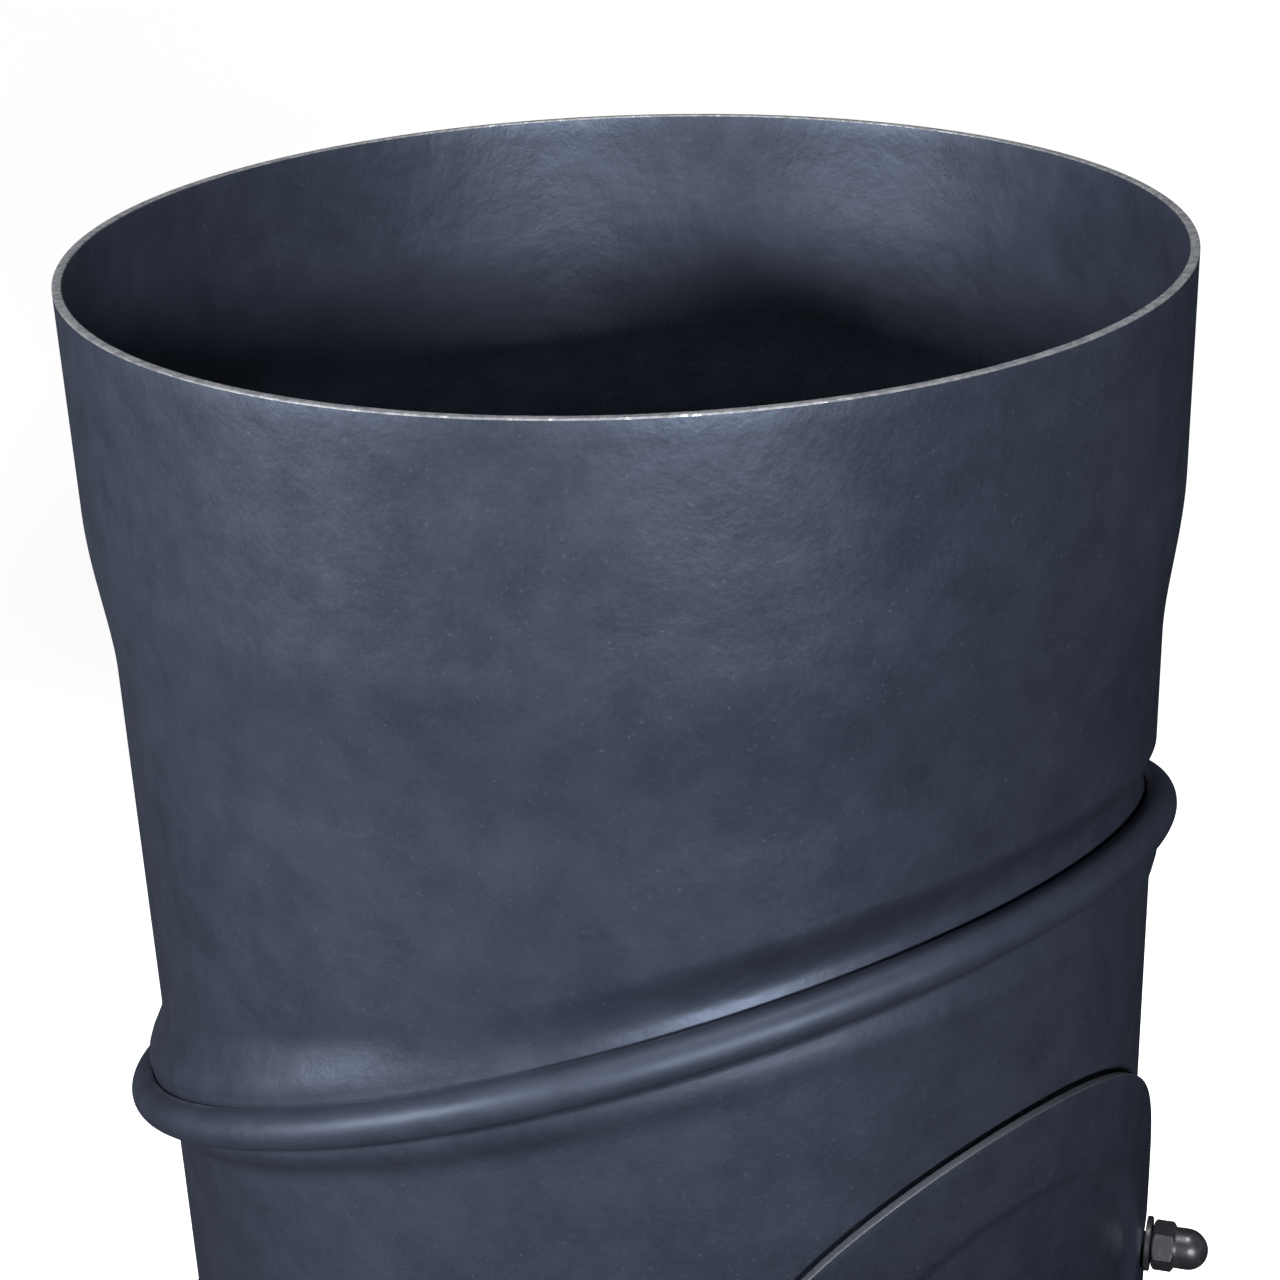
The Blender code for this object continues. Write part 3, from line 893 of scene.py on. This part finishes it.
# %% [markdown]
# Floor and light.
# Dark paint shows its shape by soft reflections, so two small lamps stand just above the rim, one
# far round to the left and one in front. Each draws a band down the outside and reaches only a
# little way down the far wall inside, which leaves the bore dark. A weak lamp straight above lights
# the depth of the bore. The sky is dim on the left and darker on the right, as in a studio with a
# black card on one side, so that the pipe turns darker towards its right edge. A white floor would
# fill every shadow, so it is hidden from the paint and glows by itself to stay pale. The standard
# view keeps it pale beside the dark paint.


# %% Floor
def pale_floor():
    finish = Finish("pale_floor")
    where = finish.node("ShaderNodeTexCoord", output=3)
    colour = mix(finish, noise(finish, where, 6, 2), (0.90, 0.90, 0.90), (0.92, 0.92, 0.92))
    away = finish.node("ShaderNodeVectorMath", {"operation": "LENGTH"}, {0: where}, output=1)
    glow = mix(finish, step(finish, away, 0.2, 1.2), (0.80, 0.80, 0.80), (0.95, 0.95, 0.95))
    finish.surface(Base_Color=colour, Roughness=0.8, Emission_Color=glow, Emission_Strength=1)
    return finish.material


mesh_maker = bmesh.new()
bmesh.ops.create_grid(mesh_maker, x_segments=8, y_segments=8, size=8)
floor = object_from("floor", mesh_maker, (pale_floor(),))
floor.location.z = -0.0002
floor.visible_diffuse = floor.visible_glossy = False
floor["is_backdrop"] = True


print("floor:", round(floor.dimensions.x), "m wide")


# %% Lamps
def soft_lamp(name, bearing, height, distance, wide, tall, power, aim, spread=70):
    """A rectangular lamp. Its bearing is counted from the camera's, towards the right."""
    data = bpy.data.lights.new(name, "AREA")
    data.shape = "RECTANGLE"
    data.size, data.size_y = wide, tall
    data.energy = power
    data.spread = radians(spread)
    lamp = bpy.data.objects.new(name, data)
    bpy.context.scene.collection.objects.link(lamp)
    turn = radians(bearing) - CAMERA_SIDE
    lamp.location = (distance * sin(turn), -distance * cos(turn), height)
    lamp.visible_camera = False
    lamp.rotation_euler = (Vector(aim) - lamp.location).to_track_quat("-Z", "Y").to_euler()
    return lamp


RIM = (0, 0, rim_height)
ABOVE_RIM = 0.53
soft_lamp("left_lamp", -60, ABOVE_RIM, 1.0, 0.24, 0.12, 3.0, RIM)
soft_lamp("front_lamp", 14, ABOVE_RIM, 1.0, 0.30, 0.12, 3.0, RIM)
soft_lamp("top_lamp", 0, 1.5, 0.05, 0.4, 0.4, 1.5, RIM, 40)


# %% Sky
DARKEST = radians(95)  # the bearing of the black card, from the camera's
SKY_LEFT = 0.045
SKY_RIGHT = 0.006


def studio_sky():
    """A dim sky that lights the object, and plain white where the camera looks past it."""
    world = bpy.data.worlds.new("studio")
    bpy.context.scene.world = world
    world.use_nodes = True
    tree = world.node_tree
    where = tree.nodes.new("ShaderNodeTexCoord")
    across = tree.nodes.new("ShaderNodeVectorMath")
    across.operation = "DOT_PRODUCT"
    bearing = DARKEST - CAMERA_SIDE
    across.inputs[1].default_value = (sin(bearing), -cos(bearing), 0)
    ramp = tree.nodes.new("ShaderNodeMapRange")
    ramp.interpolation_type = "SMOOTHSTEP"
    turns = {"From Min": -0.3, "From Max": 0.75, "To Min": SKY_LEFT, "To Max": SKY_RIGHT}
    for socket, value in turns.items():
        ramp.inputs[socket].default_value = value
    seen = tree.nodes.new("ShaderNodeLightPath")
    brightness = tree.nodes.new("ShaderNodeMix")
    brightness.inputs["B"].default_value = 1
    tree.links.new(where.outputs["Generated"], across.inputs[0])
    tree.links.new(across.outputs["Value"], ramp.inputs["Value"])
    tree.links.new(seen.outputs["Is Camera Ray"], brightness.inputs["Factor"])
    tree.links.new(ramp.outputs["Result"], brightness.inputs["A"])
    background = tree.nodes["Background"]
    background.inputs["Color"].default_value = (0.95, 0.98, 1, 1)
    tree.links.new(brightness.outputs["Result"], background.inputs["Strength"])


studio_sky()
bpy.context.scene.view_settings.view_transform = "Standard"

# %% [markdown]
# Measure the result.
# The fine pieces have to keep the frame's size, so the box round them all is set against the
# imported model's, and each corner's move is printed.

# %% Sizes and finish
new_box = [list(corner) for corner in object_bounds()]
for end, old, new in zip(("low", "high"), cad_box, new_box):
    print(end, "corner moved by, mm:", [round(abs(a - b) * 1000, 2) for a, b in zip(old, new)])
